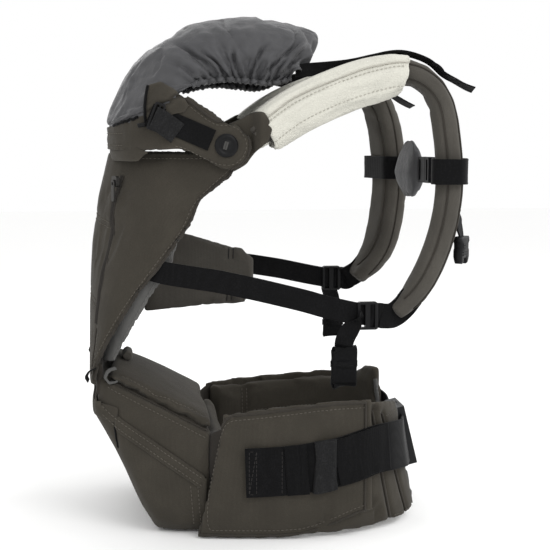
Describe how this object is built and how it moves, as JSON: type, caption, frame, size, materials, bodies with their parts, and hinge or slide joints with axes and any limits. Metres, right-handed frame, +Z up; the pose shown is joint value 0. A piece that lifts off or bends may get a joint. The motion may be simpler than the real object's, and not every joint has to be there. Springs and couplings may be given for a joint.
{
  "type": "baby carrier backpack",
  "caption": "Hip-seat baby carrier with padded waist belt, wedge seat, front body panel, headrest with gathered hood and padded shoulder straps.",
  "frame": {"origin": "on the standing plane under the middle of the bounding box", "axes": "+Z up; the wearer stands on the +Y side facing -Y, so the body panel is at -Y; +X is the wearer's left"},
  "size_m": [0.301, 0.4326, 0.5801],
  "materials": {
    "shell_fabric": "brown-charcoal plain-weave polyester with stitched seams",
    "dark_fabric": "darker brown backing fabric",
    "lining": "light grey brushed lining",
    "hood_fabric": "thin charcoal nylon, gathered",
    "webbing": "black ribbed polyester webbing",
    "pale_terry": "cream cotton terry",
    "foam": "expanded foam",
    "board": "stiffener board",
    "buckle_plastic": "moulded acetal, fine texture",
    "zip_metal": "brushed zip slider"
  },
  "bodies": {
    "seat_unit": {"seat_foam_core": "foam", "seat_cover": "shell_fabric", "seat_front_pocket": "shell_fabric", "seat_base_board": "board", "seat_cushion": "shell_fabric", "lumbar_pad": "dark_fabric", "panel_foot_roll": "lining"},
    "wing_left": {"belt_wing_pad_left": "shell_fabric", "belt_outer_cover_left": "shell_fabric", "waist_webbing_left": "webbing", "waist_webbing_keeper_left": "webbing", "waist_buckle_tongue": "buckle_plastic"},
    "wing_right": {"belt_wing_pad_right": "shell_fabric", "belt_outer_cover_right": "shell_fabric", "waist_webbing_right": "webbing", "waist_webbing_keeper_right": "webbing", "waist_buckle_socket": "buckle_plastic"},
    "waist_arm_upper": {"waist_buckle_arm_upper": "buckle_plastic"},
    "waist_arm_lower": {"waist_buckle_arm_lower": "buckle_plastic"},
    "panel": {"body_panel_shell": "shell_fabric", "body_panel_liner": "lining", "panel_zip_tape": "webbing", "leg_pad_left": "shell_fabric", "leg_pad_right": "shell_fabric", "spare_webbing": "webbing", "shoulder_strap_left": "shell_fabric", "shoulder_strap_right": "shell_fabric", "teething_pad_left": "pale_terry", "teething_pad_right": "pale_terry", "side_webbing_left": "webbing", "side_webbing_right": "webbing", "strap_end_loop_left": "webbing", "strap_end_loop_right": "webbing"},
    "zip_slider": {"panel_zip_slider": "zip_metal"},
    "zip_pull": {"panel_zip_pull": "zip_metal"},
    "headrest": {"headrest": "shell_fabric", "snap_cap_left": "buckle_plastic", "snap_cap_right": "buckle_plastic", "headrest_webbing_left": "webbing", "headrest_webbing_right": "webbing", "headrest_slide_left": "buckle_plastic", "headrest_slide_right": "buckle_plastic"},
    "hood": {"hood": "hood_fabric"},
    "hood_strap_left": {"hood_strap_left": "webbing"},
    "hood_strap_right": {"hood_strap_right": "webbing"},
    "lock_left": {"ladder_lock_left": "buckle_plastic"},
    "lock_right": {"ladder_lock_right": "buckle_plastic"},
    "tail_left": {"webbing_tail_left": "webbing", "rolled_webbing_left": "webbing"},
    "tail_right": {"webbing_tail_right": "webbing", "rolled_webbing_right": "webbing"},
    "cross_strap": {"cross_strap_band_left": "webbing", "cross_strap_band_right": "webbing", "cross_strap_pad": "hood_fabric", "cross_buckle_socket": "buckle_plastic", "cross_buckle_tongue": "buckle_plastic"},
    "cross_arm_upper": {"cross_buckle_arm_upper": "buckle_plastic"},
    "cross_arm_lower": {"cross_buckle_arm_lower": "buckle_plastic"},
    "spare_buckle": {"spare_buckle": "buckle_plastic"}
  },
  "joints": [
    {"name": "panel_fold", "type": "hinge", "parent": "seat_unit", "child": "panel", "pos_m": [0, -0.21229, 0.168], "axis": [1, 0, 0], "range_deg": [0, 90]},
    {"name": "headrest_fold", "type": "hinge", "parent": "panel", "child": "headrest", "pos_m": [0, -0.19479, 0.4255], "axis": [1, 0, 0], "range_deg": [0, 90]},
    {"name": "hood_fold", "type": "hinge", "parent": "headrest", "child": "hood", "pos_m": [0, -0.19129, 0.4565], "axis": [1, 0, 0], "range_deg": [0, 60]},
    {"name": "hood_strap_left_lift", "type": "hinge", "parent": "hood", "child": "hood_strap_left", "pos_m": [0.088, 0.01621, 0.514], "axis": [1, 0, 0], "range_deg": [0, 60]},
    {"name": "hood_strap_right_lift", "type": "hinge", "parent": "hood", "child": "hood_strap_right", "pos_m": [-0.088, 0.01621, 0.512], "axis": [1, 0, 0], "range_deg": [0, 60]},
    {"name": "wing_left_open", "type": "hinge", "parent": "seat_unit", "child": "wing_left", "pos_m": [0.143, -0.09929, 0.07], "axis": [0, 0, -1], "range_deg": [0, 40]},
    {"name": "wing_right_open", "type": "hinge", "parent": "seat_unit", "child": "wing_right", "pos_m": [-0.143, -0.09929, 0.07], "axis": [0, 0, 1], "range_deg": [0, 40]},
    {"name": "waist_buckle_squeeze", "type": "hinge", "parent": "wing_left", "child": "waist_arm_upper", "pos_m": [0.0128, 0.15032, 0.11013], "axis": [0, -0.9713, -0.2377], "range_deg": [0, 6], "stiffness_Nm_per_rad": 0.3},
    {"name": "waist_buckle_squeeze_lower", "type": "hinge", "parent": "wing_left", "child": "waist_arm_lower", "pos_m": [0.0128, 0.16311, 0.05787], "axis": [0, 0.9713, 0.2377], "range_deg": [0, 6], "stiffness_Nm_per_rad": 0.3},
    {"name": "zip_slide", "type": "slide", "parent": "panel", "child": "zip_slider", "axis": [0.0575, -0.1985, -0.9784], "range_m": [0, 0.0869]},
    {"name": "zip_pull_swing", "type": "hinge", "parent": "zip_slider", "child": "zip_pull", "pos_m": [0.07048, -0.18856, 0.3946], "axis": [-0.8171, -0.5765, 0], "range_deg": [0, 100]},
    {"name": "lock_left_tilt", "type": "hinge", "parent": "panel", "child": "lock_left", "pos_m": [0.114, 0.10351, 0.244], "axis": [0, 0, 1], "range_deg": [0, 30]},
    {"name": "lock_right_tilt", "type": "hinge", "parent": "panel", "child": "lock_right", "pos_m": [-0.114, 0.10051, 0.261], "axis": [0, 0, -1], "range_deg": [0, 30]},
    {"name": "tail_left_swing", "type": "hinge", "parent": "lock_left", "child": "tail_left", "pos_m": [0.118, 0.07571, 0.236], "axis": [1, 0, 0], "range_deg": [-20, 25]},
    {"name": "tail_right_swing", "type": "hinge", "parent": "lock_right", "child": "tail_right", "pos_m": [-0.118, 0.08571, 0.24], "axis": [1, 0, 0], "range_deg": [-25, 5]},
    {"name": "cross_strap_height", "type": "slide", "parent": "panel", "child": "cross_strap", "axis": [0, 0, 1], "range_m": [-0.008, 0.006]},
    {"name": "cross_buckle_squeeze", "type": "hinge", "parent": "cross_strap", "child": "cross_arm_upper", "pos_m": [0.0441, 0.17735, 0.4142], "axis": [0.1493, -0.9888, 0], "range_deg": [0, 5], "stiffness_Nm_per_rad": 0.02},
    {"name": "cross_buckle_squeeze_lower", "type": "hinge", "parent": "cross_strap", "child": "cross_arm_lower", "pos_m": [0.0441, 0.17735, 0.3938], "axis": [-0.1493, 0.9888, 0], "range_deg": [0, 5], "stiffness_Nm_per_rad": 0.02},
    {"name": "spare_buckle_swing", "type": "hinge", "parent": "panel", "child": "spare_buckle", "pos_m": [0.104, 0.20171, 0.3342], "axis": [1, 0, 0], "range_deg": [0, 45]}
  ],
  "couplings": [
    {"joint": "wing_right_open", "follows": "wing_left_open", "ratio": 1},
    {"joint": "waist_buckle_squeeze_lower", "follows": "waist_buckle_squeeze", "ratio": 1},
    {"joint": "cross_buckle_squeeze_lower", "follows": "cross_buckle_squeeze", "ratio": 1}
  ]
}
